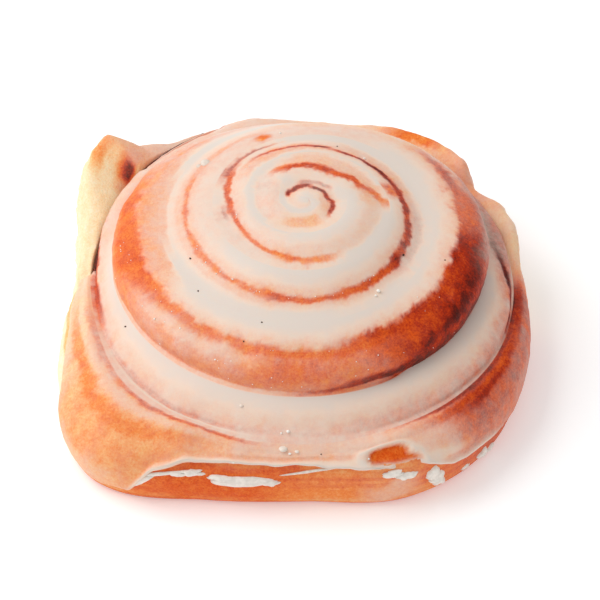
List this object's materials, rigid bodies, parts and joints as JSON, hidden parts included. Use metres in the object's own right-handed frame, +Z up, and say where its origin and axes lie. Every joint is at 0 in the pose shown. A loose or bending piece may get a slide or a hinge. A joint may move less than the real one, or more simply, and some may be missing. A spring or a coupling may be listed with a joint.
{
  "type": "cinnamon roll",
  "caption": "Soft spiral bun with cinnamon filling rolled in, stepped like a low cone, under a poured glaze that ends in drips above a bare side.",
  "frame": {"origin": "middle of the roll's box, on the surface that it stands on", "axes": "+Z up, -Y towards the front of the roll, where the glaze ends in drips above the bare side, +X to its right"},
  "size_m": [0.1104, 0.109, 0.0437],
  "materials": {
    "dough": "stands in for soft baked dough with a browned crust and torn pale crumb",
    "filling": "stands in for dark, sticky cinnamon sugar",
    "icing": "stands in for a satin, slightly see-through sugar glaze"
  },
  "bodies": {
    "root": {"dough": "dough", "cinnamon_filling": "filling", "icing": "icing"}
  },
  "joints": []
}
